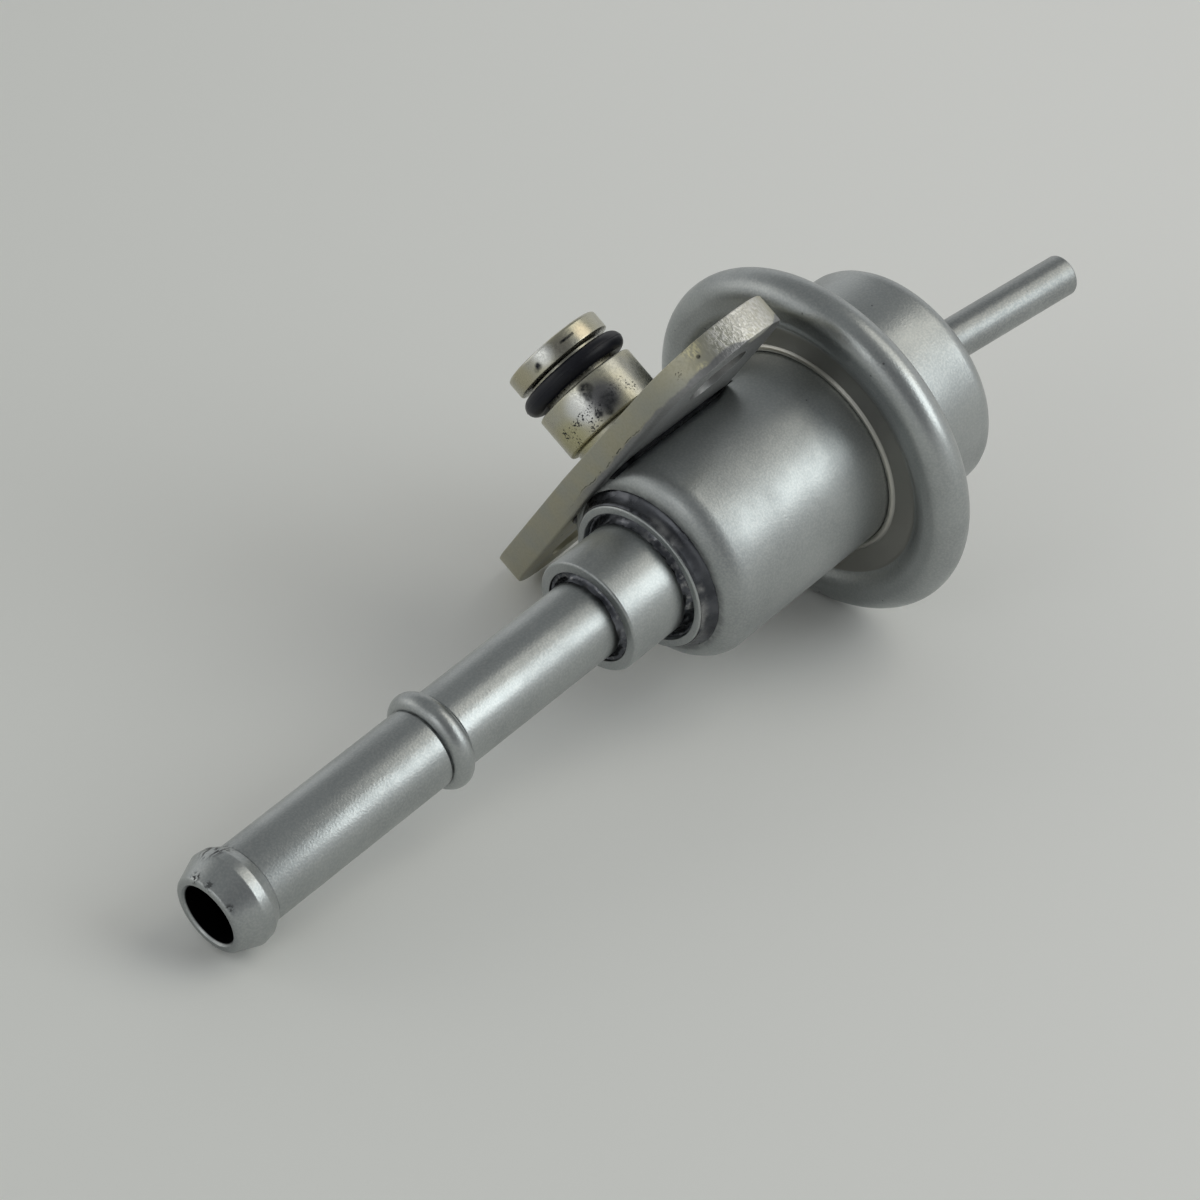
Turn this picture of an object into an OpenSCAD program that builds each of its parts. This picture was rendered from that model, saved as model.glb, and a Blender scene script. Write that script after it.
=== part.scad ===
// Fuel pressure regulator with a bolted flange, an inlet spigot, a return pipe and a vacuum nipple.
// The origin is on the inlet axis, in the flange's mounting face. +Z points out of the inlet,
// and +X runs along the body from the return pipe to the vacuum nipple.

/* [Body axis] */
// Distance from the flange's mounting face down to the body's axis
axis_drop = 11.5; // [11:0.1:13]

/* [Return pipe] */
// Outside diameter of the return pipe
tube_od = 8; // [7:0.1:8.6]
// Wall of the return pipe
tube_wall = 1; // [0.7:0.1:1.4]
// Length of pipe standing out of the sleeve
tube_out = 48; // [40:0.5:70]
// Length of pipe held inside the sleeve
tube_grip = 6; // [4:0.5:8]
// Largest diameter of the end barb
barb_od = 9.7; // [9.5:0.1:10.4]
// Length of the end barb
barb_len = 4.7; // [4:0.1:6]
// Distance from the pipe's mouth to the barb's crest
barb_crest = 2.7; // [2.4:0.1:3.2]
// Diameter over the barb's round nose
nose_od = 9.5; // [9.2:0.1:9.6]
// Radius of that nose
barb_nose = 1.6; // [1.3:0.05:1.7]
// Diameter over the rolled bead
bead_od = 10; // [9.6:0.1:11.5]
// Half the width of the rolled bead
bead_r = 1.2; // [1:0.05:1.4]
// Distance from the pipe's mouth to the bead
bead_reach = 27.4; // [20:0.2:34]

/* [Return sleeve] */
// Outside diameter of the sleeve
sleeve_od = 11.8; // [11.2:0.1:12.6]
// Length of sleeve standing out of the chamber's front face
sleeve_out = 8.5; // [7:0.1:11]
// Diameter of the stem inside the chamber
stem_od = 8.8; // [8.4:0.1:9.6]
// Diameter of the bore down to the seat
return_bore = 5; // [4:0.1:5.6]
// Diameter of the recess that holds the filler round the pipe
recess_od = 9.6; // [9.2:0.1:10.8]
// Depth of that recess
recess_depth = 0.9; // [0.6:0.1:1.4]

/* [Fuel chamber] */
// Outside diameter of the cup
cup_od = 21.4; // [20.6:0.1:22]
// Sheet thickness of the cup
cup_wall = 1; // [0.8:0.05:1.1]
// Distance from the inlet axis to the cup's front face
cup_front = 7.6; // [7.2:0.1:9]
// Outside radius of the cup's front edge
cup_shoulder = 2.4; // [1.8:0.1:2.5]
// Distance from the inlet axis to the cup's clamped flange
clamp_reach = 15.2; // [14.8:0.1:18]
// Radius between the cup's wall and its flange
cup_fillet = 0.5; // [0.3:0.1:0.6]
// Outside diameter of the neck collar round the sleeve
neck_od = 15.3; // [15:0.1:15.6]
// Wall of the neck collar
neck_wall = 0.8; // [0.5:0.05:0.85]
// Length of the neck collar in front of the cup
neck_out = 1.6; // [1.2:0.1:2.2]
// Length of the neck collar inside the cup
neck_tail = 0.6; // [0.4:0.1:1]

/* [Spring housing] */
// Outside diameter of the dome
dome_od = 24; // [23:0.1:24.6]
// Sheet thickness of the housing
dome_wall = 1; // [0.8:0.05:1.1]
// Height of the dome above the diaphragm
dome_height = 11.9; // [11.6:0.1:16]
// Outside radius of the dome's top edge
dome_shoulder = 1.8; // [1.4:0.1:3]
// Diameter through the middle of the rolled rim
rim_pitch = 32.8; // [32:0.1:36]
// Inside radius of the rolled rim
rim_inner = 1.2; // [1.1:0.05:1.4]
// Width of the straight part between the rim's two rounds
rim_flat = 0.8; // [0.2:0.1:1.2]
// Gap between the folded lip's edge and the cup's wall
lip_gap = 0.6; // [0.6:0.05:0.9]

/* [Vacuum nipple] */
// Outside diameter of the nipple
nipple_od = 4.3; // [4:0.1:5]
// Bore of the nipple
nipple_bore = 2.8; // [2:0.1:3.2]
// Length of the nipple outside the dome
nipple_out = 23.2; // [15:0.2:30]
// Diameter of the nipple's root in the dome
nipple_root = 4.1; // [3.8:0.1:4.2]
// Height of the root's shoulder above the dome
nipple_step = 0.9; // [0.8:0.1:1.4]
// Length of the nipple inside the dome's top
nipple_in = 1.6; // [1.4:0.1:2.4]
// Lean of the nipple away from the inlet, in degrees
nipple_lean = 6; // [0:0.5:8]

/* [Flange plate] */
// Thickness of the flange
plate_t = 3; // [2.6:0.1:3.4]
// Distance between the two bolt holes
bolt_spacing = 36; // [32:0.5:44]
// Diameter of the bolt holes
bolt_hole = 6.6; // [5.4:0.1:7]
// Radius of the flange round the inlet
plate_mid_r = 8.5; // [8:0.1:9]
// Radius of the flange's two ends
plate_end_r = 7.5; // [6.5:0.1:7.9]

/* [Inlet spigot] */
// Diameter of the spigot's body
spigot_od = 10.7; // [10.4:0.1:11.4]
// Diameter of the spigot's end land
land_od = 10.4; // [10:0.1:10.7]
// Height of the spigot above the mounting face
spigot_h = 10.7; // [10:0.1:13]
// Thickness of the end land
land_t = 2; // [1.5:0.1:2.5]
// Width of the seal groove
groove_w = 2.85; // [2.4:0.05:3.2]
// Diameter of the spigot's foot in the flange
foot_od = 9.4; // [9:0.1:9.8]
// Height of the narrow foot above the mounting face
foot_h = 1.2; // [0.9:0.1:1.6]
// Diameter of the spigot's shank through the cup's wall
shank_od = 8; // [7.4:0.1:8.4]
// Bore of the inlet
inlet_bore = 5; // [4:0.1:5.4]
// Thickness of the rubber ring
ring_t = 1.9; // [1.7:0.05:2.2]
// Inside diameter of the rubber ring
ring_id = 7.7; // [7.3:0.1:8]

/* [Valve] */
// Distance from the inlet axis to the valve seat's face
seat_reach = 10; // [9.6:0.1:10.4]
// Orifice of the valve seat
seat_bore = 2.4; // [1.8:0.1:2.8]
// Diameter of the seat's raised face
seat_od = 4.8; // [4.2:0.1:5.2]
// Diameter of the seat's shank in the stem
seat_shank = 6.2; // [5.8:0.1:6.6]
// Length of the seat's shank
seat_len = 3; // [2:0.1:4]
// Diameter of the valve ball
ball_d = 5; // [4.8:0.1:5.2]
// Distance from the ball's centre to its ground flat
ball_flat = 1.6; // [1.4:0.05:1.7]
// Diameter of the holder's boss round the ball
boss_od = 7.4; // [7.2:0.1:8]
// Diameter of the rivet through the diaphragm
rivet_d = 4; // [3.4:0.1:4.4]
// Diameter of the rivet's closed head
rivet_head = 6.4; // [5.6:0.1:7.4]
// Thickness of the retainer ring
retainer_t = 0.4; // [0.3:0.05:0.5]
// Distance from the ball's centre to the retainer ring
retainer_set = 1; // [0.8:0.05:1.2]
// Wire of the spring behind the ball
ball_wire = 0.4; // [0.3:0.05:0.45]
// Diameter through the wire of the spring behind the ball
ball_coil = 2.6; // [2.2:0.1:3]
// Turns of the spring behind the ball
ball_turns = 3; // [2.5:0.5:3]
// Length of the spring behind the ball
ball_spring_len = 1.9; // [1.7:0.1:2.2]

/* [Diaphragm and spring] */
// Thickness of the diaphragm
sheet_t = 0.7; // [0.5:0.05:0.8]
// Room between the diaphragm's roll and the dome
roll_room = 0.4; // [0.3:0.05:0.8]
// Inside radius of the diaphragm's roll
roll_inner = 0.65; // [0.5:0.05:0.7]
// Room between the diaphragm's roll and the plates on both sides of the sheet
pan_room = 0.3; // [0.2:0.05:0.6]
// Thickness of those plates
pan_t = 0.9; // [0.7:0.05:1]
// Wire of the main spring
wire_d = 1.6; // [1.2:0.1:1.7]
// Diameter through the wire of the main spring
coil_d = 12; // [11.4:0.1:12.6]
// Turns of the main spring
coil_turns = 4.5; // [4:0.5:5]

/* [Hidden] */
$fn = 96;
// Film of filler between brazed faces
film = 0.03;
// Clearance of parts that slip together
slip = 0.05;
// Clearance round parts that must not touch
loose = 0.3;
// Overshoot of a cutting tool
over = 0.5;
// Turned chamfer
chamfer = 0.3;
// Leg of a fillet of filler
filler_leg = 0.6;
// Leg of the filler round the neck collar
collar_leg = 0.75;
// Leg of the filler along the flange
plate_leg = 0.4;
// Length of the filler's slope on the sleeve, in front of the neck
neck_slope = 1.1;
// Reach of the clamped flange past the middle of the rim
clamp_past = 0.4;
// Gap between the dead turns of a spring
coil_gap = 0.06;
// Sides of a spring's wire and steps in each turn
wire_sides = 10;
turn_steps = 20;
// Places along the body, measured from the inlet axis
sleeve_face = -cup_front - sleeve_out;
tube_mouth = sleeve_face - tube_out;
bead_x = tube_mouth + bead_reach;
neck_face = -cup_front - neck_out;
neck_end = -cup_front + cup_wall + neck_tail;
sheet_x = clamp_reach + cup_wall;
pan_x = sheet_x + sheet_t;
rim_x = pan_x - rim_inner;
dome_top = pan_x + dome_height;
dome_under = dome_top - dome_wall;
ball_x = seat_reach + ball_flat;
retainer_x = ball_x - retainer_set;
stem_end = seat_reach - (seat_od - seat_bore) / 2;
spring_rest = ball_x + sqrt(pow(ball_d / 2, 2) - pow((ball_coil - ball_wire) / 2, 2));
spring_end = spring_rest + ball_spring_len;
// Radii that follow from the fits
tube_r = tube_od / 2;
tube_in = tube_r - tube_wall;
sleeve_r = sleeve_od / 2;
cup_r = cup_od / 2;
cup_in = cup_r - cup_wall;
neck_in = neck_od / 2 - neck_wall;
dome_r = dome_od / 2;
lip_r = cup_r + lip_gap;
rim_r = rim_pitch / 2;
roll_outer = roll_inner + sheet_t;
roll_r = dome_r - dome_wall - roll_room - roll_outer;
pan_r = roll_r - roll_outer - pan_room;
pocket_r = ball_d / 2 + 2 * slip;
groove_r = ring_id / 2 - film;
// The flat under the flange
flat_h = axis_drop - plate_t;
flat_end = plate_mid_r + chamfer;
body_top = spigot_h - land_t - groove_w;

// Turns a profile of radius and length about the body's axis
module turned() {
    translate([0, 0, -axis_drop]) rotate([0, 90, 0]) rotate_extrude() children();
}

// A band of the profile between two radii and two places along the body
module band(r0, r1, x0, x1) {
    translate([r0, x0]) square([r1 - r0, x1 - x0]);
}

// A rounded outer corner of the profile, its round towards lower or higher x
module round_corner(r, x, radius, side) {
    translate([r - radius, x - side * radius]) intersection() {
        circle(radius);
        translate([0, side > 0 ? 0 : -radius]) square(radius);
    }
}

// A band whose outer corner at x0 or x1 is rounded
module round_band(r1, x0, x1, radius, side) {
    band(0, r1 - radius, x0, x1);
    band(0, r1, side > 0 ? x0 : x0 + radius, side > 0 ? x1 - radius : x1);
    round_corner(r1, side > 0 ? x1 : x0, radius, side);
}

// The space above a flat, over a length of the body
module over_flat(h, x0, x1) {
    translate([x0, -cup_od, h - axis_drop]) cube([x1 - x0, 2 * cup_od, cup_od]);
}

// A coil of round wire with flat dead turns at both ends
module coil(d, wire, length, turns) {
    sides = wire_sides;
    steps = turn_steps;
    count = round(turns * steps);
    rise = length - wire;
    dead = wire + coil_gap;
    function level(t) = t < 1 ? dead * t
        : t > turns - 1 ? rise - dead * (turns - t)
        : dead + (rise - 2 * dead) * (t - 1) / (turns - 2);
    rings = [for (i = [0 : count]) let (a = 360 * i / steps, h = level(i / steps))
        [for (k = [0 : sides - 1]) let (b = 360 * k / sides, r = d / 2 + wire / 2 * cos(b))
            [r * cos(a), r * sin(a), wire / 2 + h + wire / 2 * sin(b)]]];
    walls = [for (i = [0 : count - 1], k = [0 : sides - 1]) let (n = (k + 1) % sides)
        [i * sides + k, i * sides + n, (i + 1) * sides + n, (i + 1) * sides + k]];
    first = [for (k = [sides - 1 : -1 : 0]) k];
    last = [for (k = [0 : sides - 1]) count * sides + k];
    polyhedron([for (ring = rings, p = ring) p], concat([first], walls, [last]), convexity = 10);
}

// Outer form of the cup, from its front face to the clamped flange
module cup_outside() {
    round_band(cup_r, -cup_front, sheet_x, cup_shoulder, -1);
    band(0, rim_r + clamp_past, clamp_reach, sheet_x);
    difference() {
        band(cup_r, cup_r + cup_fillet, clamp_reach - cup_fillet, clamp_reach);
        translate([cup_r + cup_fillet, clamp_reach - cup_fillet]) circle(cup_fillet);
    }
}

// Hollow of the cup, with the flange's round inner edge
module cup_inside() {
    edge = cup_fillet + cup_wall;
    round_band(cup_in, cup_wall - cup_front, sheet_x + over, cup_shoulder - cup_wall, -1);
    difference() {
        band(cup_in, cup_in + edge, sheet_x - edge, sheet_x + over);
        translate([cup_in + edge, sheet_x - edge]) circle(edge);
        band(cup_in + edge / 2, cup_in + 2 * edge, sheet_x, sheet_x + 2 * over);
    }
}

module fuel_chamber_cup() {
    color("silver") difference() {
        difference() {
            turned() cup_outside();
            over_flat(flat_h, -cup_front - over, flat_end);
        }
        difference() {
            turned() cup_inside();
            over_flat(flat_h - cup_wall, -cup_front - 2 * over, flat_end - cup_wall);
        }
        turned() band(0, neck_od / 2 + film, -cup_front - over, neck_end + film);
        translate([0, 0, -axis_drop]) cylinder(d = shank_od + 2 * slip, h = axis_drop);
    }
}

// Section of the rim's roll: two rounds with a straight part between them
module roll_section(size) {
    band(rim_r - rim_flat, rim_r, rim_x - size, rim_x + size);
    for (r = [rim_r - rim_flat, rim_r]) translate([r, rim_x]) circle(size);
}

// Rolled rim, its folded lip and the flange behind the diaphragm
module rim_profile() {
    difference() {
        roll_section(rim_inner + dome_wall);
        roll_section(rim_inner);
        band(0, rim_r, clamp_reach, dome_top);
    }
    band(lip_r, rim_r - rim_flat - rim_inner, clamp_reach - dome_wall, clamp_reach);
    band(dome_r - dome_wall, rim_r, pan_x, pan_x + dome_wall);
}

module spring_housing() {
    color("silver") difference() {
        turned() {
            rim_profile();
            difference() {
                round_band(dome_r, pan_x, dome_top, dome_shoulder, 1);
                round_band(dome_r - dome_wall, pan_x - over, dome_under, dome_shoulder - dome_wall, 1);
            }
        }
        on_nipple() translate([0, 0, -dome_height / 2])
            cylinder(d = nipple_root + 2 * film, h = dome_height);
    }
}

module return_tube() {
    barb_end = tube_mouth + barb_len;
    nose = [nose_od / 2 - barb_nose, tube_mouth + barb_nose];
    crest = [barb_od / 2, tube_mouth + barb_crest];
    rise = crest - nose;
    turn = atan2(rise.y, rise.x) - acos(barb_nose / norm(rise));
    touch = nose + barb_nose * [cos(turn), sin(turn)];
    far = 3 * barb_nose;
    color("lightgray") turned() difference() {
        union() {
            band(0, tube_r, barb_end, sleeve_face + tube_grip);
            polygon([[0, tube_mouth], [nose.x, tube_mouth], nose, touch, crest, [tube_r, barb_end],
                [0, barb_end]]);
            translate(nose) intersection() {
                circle(barb_nose);
                polygon([[0, 0], [0, -far], [far, -far], far * [cos(turn), sin(turn)]]);
            }
            translate([bead_od / 2 - bead_r, bead_x]) circle(bead_r);
        }
        band(0, tube_in, tube_mouth - over, sleeve_face + tube_grip + over);
    }
}

module return_sleeve() {
    shoulder = -cup_front + cup_wall + over;
    color("silver") turned() difference() {
        union() {
            polygon([[0, sleeve_face], [sleeve_r - chamfer, sleeve_face], [sleeve_r, sleeve_face + chamfer],
                [sleeve_r, shoulder], [0, shoulder]]);
            band(0, stem_od / 2, sleeve_face + chamfer, stem_end);
        }
        band(0, recess_od / 2, sleeve_face - over, sleeve_face + recess_depth);
        band(0, tube_r + film, sleeve_face - over, sleeve_face + tube_grip);
        band(0, return_bore / 2, sleeve_face, stem_end + over);
        band(0, seat_shank / 2 + film, stem_end - seat_len, stem_end + over);
    }
}

module valve_seat() {
    color("gainsboro") turned() difference() {
        union() {
            band(0, seat_shank / 2, stem_end - seat_len, stem_end);
            polygon([[0, stem_end], [seat_shank / 2, stem_end], [seat_od / 2, seat_reach], [0, seat_reach]]);
        }
        band(0, seat_bore / 2, stem_end - seat_len - over, seat_reach + over);
    }
}

// Blank with two round ends, widest at the inlet, its straight flanks tangent to the ends
module plate_blank() {
    reach = bolt_spacing / 2;
    lean = asin((plate_mid_r - plate_end_r) / reach);
    end_x = plate_end_r * cos(lean);
    end_y = reach + plate_end_r * sin(lean);
    mid_x = plate_mid_r / cos(lean);
    linear_extrude(plate_t) polygon([[mid_x, 0], [end_x, end_y], [-end_x, end_y],
        [-mid_x, 0], [-end_x, -end_y], [end_x, -end_y]]);
    for (turn = [-1, 1])
        translate([0, turn * reach, 0]) cylinder(r = plate_end_r, h = plate_t);
}

module flange_plate() {
    color("darkkhaki") translate([0, 0, -plate_t]) difference() {
        plate_blank();
        for (turn = [-1, 1])
            translate([0, turn * bolt_spacing / 2, -over])
                cylinder(d = bolt_hole, h = plate_t + 2 * over);
        translate([0, 0, -over]) cylinder(d = foot_od + 2 * film, h = plate_t + 2 * over);
    }
}

module inlet_spigot() {
    spigot_r = spigot_od / 2;
    land_r = land_od / 2;
    bottom = -plate_t - cup_wall;
    color("khaki") rotate_extrude() difference() {
        union() {
            band(0, shank_od / 2, bottom, 0);
            band(0, foot_od / 2, -plate_t, foot_h);
            band(0, groove_r, 0, spigot_h - chamfer);
            polygon([[0, foot_h], [spigot_r - chamfer, foot_h], [spigot_r, foot_h + chamfer],
                [spigot_r, body_top], [0, body_top]]);
            polygon([[0, spigot_h - land_t], [land_r, spigot_h - land_t], [land_r, spigot_h - chamfer],
                [land_r - chamfer, spigot_h], [0, spigot_h]]);
        }
        band(0, inlet_bore / 2, bottom - over, spigot_h + over);
    }
}

module inlet_o_ring() {
    color("black") translate([0, 0, body_top + groove_w / 2]) rotate_extrude()
        translate([ring_id / 2 + ring_t / 2, 0]) circle(d = ring_t);
}

// Places what follows on the nipple's axis, at the dome's top
module on_nipple() {
    translate([dome_top, 0, -axis_drop]) rotate([0, 90 + nipple_lean, 0]) children();
}

module vacuum_nipple() {
    color("silver") on_nipple() translate([0, 0, -nipple_in]) difference() {
        union() {
            cylinder(d = nipple_root, h = nipple_in + nipple_out);
            translate([0, 0, nipple_in + nipple_step])
                cylinder(d = nipple_od, h = nipple_out - nipple_step);
        }
        translate([0, 0, -over]) cylinder(d = nipple_bore, h = nipple_in + nipple_out + 2 * over);
    }
}

module diaphragm() {
    color("dimgray") turned() {
        band(rivet_d / 2 + loose, roll_r - roll_inner, sheet_x, pan_x);
        band(roll_r + roll_inner, rim_r, sheet_x, pan_x);
        difference() {
            translate([roll_r, sheet_x]) circle(roll_outer);
            translate([roll_r, sheet_x]) circle(roll_inner);
            band(0, rim_pitch, sheet_x - rim_pitch, sheet_x);
        }
    }
}

module main_spring() {
    seat = pan_x + pan_t + film;
    color("slategray") translate([seat, 0, -axis_drop]) rotate([0, 90, 0])
        coil(coil_d, wire_d, dome_under - film - seat, coil_turns);
}

module valve_holder() {
    mouth = retainer_x - retainer_t;
    head = pan_x + pan_t;
    color("goldenrod") turned() difference() {
        union() {
            band(0, boss_od / 2, mouth, sheet_x);
            band(0, pan_r, sheet_x - pan_t, sheet_x);
            band(0, rivet_d / 2, sheet_x, head + pan_t);
            band(0, rivet_head / 2, head, head + pan_t);
        }
        band(0, pocket_r, mouth - over, ball_x + ball_d / 2 + slip);
        band(0, (ball_coil + ball_wire) / 2 + 2 * slip, ball_x, spring_end + film);
    }
}

module valve_ball() {
    color("gainsboro") turned() intersection() {
        translate([0, ball_x]) circle(d = ball_d);
        band(0, ball_d, seat_reach, ball_x + ball_d);
    }
}

module ball_retainer() {
    ball_r = sqrt(pow(ball_d / 2, 2) - pow(retainer_set, 2));
    color("goldenrod") turned()
        band(ball_r + film / 2, pocket_r - film / 2, retainer_x - retainer_t, retainer_x);
}

module ball_spring() {
    color("slategray") translate([spring_rest, 0, -axis_drop]) rotate([0, 90, 0])
        coil(ball_coil, ball_wire, ball_spring_len, ball_turns);
}

module spring_seat() {
    hub_r = coil_d / 2 - wire_d / 2 - loose;
    color("silver") turned() {
        band(rivet_d / 2 + slip, pan_r, pan_x, pan_x + pan_t);
        band(rivet_head / 2 + loose, hub_r, pan_x + pan_t / 2, pan_x + 2 * pan_t);
    }
}

module tube_braze() {
    inner = tube_r + film;
    outer = recess_od / 2 - film;
    floor_x = sleeve_face + recess_depth - film;
    color("dimgray") turned() polygon([[inner, sleeve_face - chamfer],
        [outer, sleeve_face + recess_depth / 2], [outer, floor_x], [inner, floor_x]]);
}

module neck_collar() {
    color("silver") turned()
        band(neck_in, neck_od / 2, neck_face, neck_end);
}

module neck_braze() {
    inner = sleeve_r + film;
    outer = neck_in - film;
    end_x = -cup_front + cup_wall;
    color("dimgray") turned() polygon([[inner, neck_face - neck_slope], [outer, neck_face + chamfer],
        [outer, end_x], [inner, end_x]]);
}

// Filler round the foot of the collar, which stops at the flange
module collar_braze() {
    inner = neck_od / 2 + film;
    end_x = -cup_front - film;
    color("dimgray") difference() {
        turned() translate([inner, end_x]) intersection() {
            circle(collar_leg);
            translate([0, -collar_leg]) square(collar_leg);
        }
        over_flat(flat_h - film, end_x - 2 * collar_leg, end_x + over);
    }
}

// Filler in the corners between the flange and the cup's sides
module plate_braze() {
    color("dimgray") intersection() {
        turned() band(cup_r + film, cup_r + film + plate_leg, cup_shoulder - cup_front, plate_mid_r);
        translate([-plate_mid_r, -cup_od, -plate_t - film - plate_leg])
            cube([2 * plate_mid_r, 2 * cup_od, plate_leg]);
    }
}

module spigot_braze() {
    foot_r = foot_od / 2 + film;
    color("dimgray") rotate_extrude()
        polygon([[foot_r, film], [foot_r + filler_leg, film], [foot_r, filler_leg]]);
}

module nipple_braze() {
    inner = nipple_root / 2 + film;
    color("dimgray") difference() {
        on_nipple() rotate_extrude()
            polygon([[inner, -filler_leg], [inner + 2 * filler_leg, -filler_leg], [inner, filler_leg]]);
        translate([0, -dome_od / 2, -axis_drop - dome_od / 2]) cube([dome_top + film, dome_od, dome_od]);
    }
}

fuel_chamber_cup();
spring_housing();
return_tube();
return_sleeve();
valve_seat();
flange_plate();
inlet_spigot();
inlet_o_ring();
vacuum_nipple();
diaphragm();
main_spring();
valve_holder();
valve_ball();
ball_spring();
ball_retainer();
spring_seat();
neck_collar();
tube_braze();
neck_braze();
collar_braze();
plate_braze();
spigot_braze();
nipple_braze();
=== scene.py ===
import math

import bmesh
import bpy
from mathutils import Matrix, Vector


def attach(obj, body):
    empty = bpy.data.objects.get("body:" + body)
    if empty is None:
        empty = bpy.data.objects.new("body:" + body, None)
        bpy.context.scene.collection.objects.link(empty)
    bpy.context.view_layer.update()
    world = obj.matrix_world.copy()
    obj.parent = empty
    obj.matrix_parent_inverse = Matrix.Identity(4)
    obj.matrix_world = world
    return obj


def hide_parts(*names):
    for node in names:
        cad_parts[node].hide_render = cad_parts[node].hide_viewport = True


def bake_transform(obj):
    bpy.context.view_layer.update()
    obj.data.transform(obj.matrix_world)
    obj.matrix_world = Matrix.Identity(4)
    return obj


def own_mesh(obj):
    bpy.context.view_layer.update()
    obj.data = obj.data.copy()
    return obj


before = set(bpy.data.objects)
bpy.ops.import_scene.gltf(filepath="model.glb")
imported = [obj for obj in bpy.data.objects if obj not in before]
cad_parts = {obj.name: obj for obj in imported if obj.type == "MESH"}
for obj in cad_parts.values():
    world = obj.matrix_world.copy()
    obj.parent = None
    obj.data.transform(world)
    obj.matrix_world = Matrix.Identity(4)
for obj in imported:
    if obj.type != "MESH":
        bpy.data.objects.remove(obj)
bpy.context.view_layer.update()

mm = 0.001
weld = 0.001 * mm
print("frame loaded:", len(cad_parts), "nodes")


# the three centre lines: a point on the line, its direction, and the side that profiles are drawn on
axes = {"drop": -11.5, "domeTop": 28.8, "lean": math.radians(6)}
leanCos, leanSin = math.cos(axes["lean"]), math.sin(axes["lean"])
bodyLine = (Vector((0, 0, axes["drop"] * mm)), Vector((1, 0, 0)), Vector((0, 0, 1)))
inletLine = (Vector((0, 0, 0)), Vector((0, 0, 1)), Vector((1, 0, 0)))
nippleLine = (Vector((axes["domeTop"] * mm, 0, axes["drop"] * mm)),
              Vector((leanCos, 0, -leanSin)), Vector((leanSin, 0, leanCos)))


def startFresh():
    active = bpy.context.view_layer.objects.active
    if active and active.mode != "OBJECT":
        bpy.ops.object.mode_set(mode="OBJECT")
    bpy.ops.object.select_all(action="DESELECT")


def pickUp(piece):
    startFresh()
    piece.select_set(True)
    bpy.context.view_layer.objects.active = piece


def arc(along, radius, size, start, end, steps=14):
    turns = [math.radians(start + (end - start) * k / steps) for k in range(steps + 1)]
    return [(along + size * math.cos(t), radius + size * math.sin(t)) for t in turns]


# a corner is (place along the line, radius, rounding); a rounded corner becomes a short arc
def roundCorners(corners, bend=6):
    points = []
    for i, corner in enumerate(corners):
        here = Vector(corner[:2])
        if len(corner) == 2:
            points.append(here)
            continue
        back = (Vector(corners[i - 1][:2]) - here).normalized()
        ahead = (Vector(corners[(i + 1) % len(corners)][:2]) - here).normalized()
        half = back.angle(ahead) / 2
        middle = here + (back + ahead).normalized() * corner[2] / math.sin(half)
        first = here + back * corner[2] / math.tan(half) - middle
        last = here + ahead * corner[2] / math.tan(half) - middle
        for k in range(bend + 1):
            points.append(middle + first.lerp(last, k / bend).normalized() * corner[2])
    return points


# one vertex, extruded from point to point and joined up to a loop
def drawLoop(name, points):
    startFresh()
    bpy.ops.mesh.primitive_plane_add(size=mm, location=points[0])
    piece = bpy.context.object
    piece.name = name
    bpy.ops.object.mode_set(mode="EDIT")
    bpy.ops.mesh.select_mode(type="VERT")
    bpy.ops.mesh.select_all(action="SELECT")
    bpy.ops.mesh.merge(type="CENTER")
    for here, there in zip(points, points[1:]):
        bpy.ops.mesh.extrude_vertices_move(TRANSFORM_OT_translate={"value": there - here})
    mesh = bmesh.from_edit_mesh(piece.data)
    mesh.verts.ensure_lookup_table()
    for vert in mesh.verts:
        vert.select_set(vert.index in (0, len(mesh.verts) - 1))
    mesh.select_flush_mode()
    bmesh.update_edit_mesh(piece.data)
    bpy.ops.mesh.edge_face_add()
    bpy.ops.mesh.select_all(action="SELECT")
    return piece


def closeUp(piece):
    bpy.ops.mesh.select_all(action="SELECT")
    bpy.ops.mesh.remove_doubles(threshold=weld)
    bpy.ops.mesh.normals_make_consistent(inside=False)
    bpy.ops.object.mode_set(mode="OBJECT")
    bpy.ops.object.transform_apply(location=True, rotation=True, scale=True)
    return piece


# a profile turned on one of the lines, as on a lathe; a part turn is closed at both ends
def turnPiece(name, corners, line, steps=128, angle=360):
    origin, along, side = line
    points = [origin + along * (p.x * mm) + side * (p.y * mm) for p in roundCorners(corners)]
    piece = drawLoop(name, points)
    if angle < 360:
        bpy.ops.mesh.edge_face_add()
    bpy.ops.mesh.spin(steps=steps, angle=math.radians(angle), center=origin, axis=along)
    return closeUp(piece)


# a plain round tool for a hole
def pinTool(name, start, end, radius, line, steps):
    return turnPiece(name, [(start, 0), (start, radius), (end, radius), (end, 0)], line, steps)


def boxPiece(name, low, high):
    startFresh()
    low, high = Vector(low) * mm, Vector(high) * mm
    bpy.ops.mesh.primitive_cube_add(size=1, location=(low + high) / 2)
    piece = bpy.context.object
    piece.name = name
    piece.scale = high - low
    bpy.ops.object.transform_apply(location=True, rotation=True, scale=True)
    return piece


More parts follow.
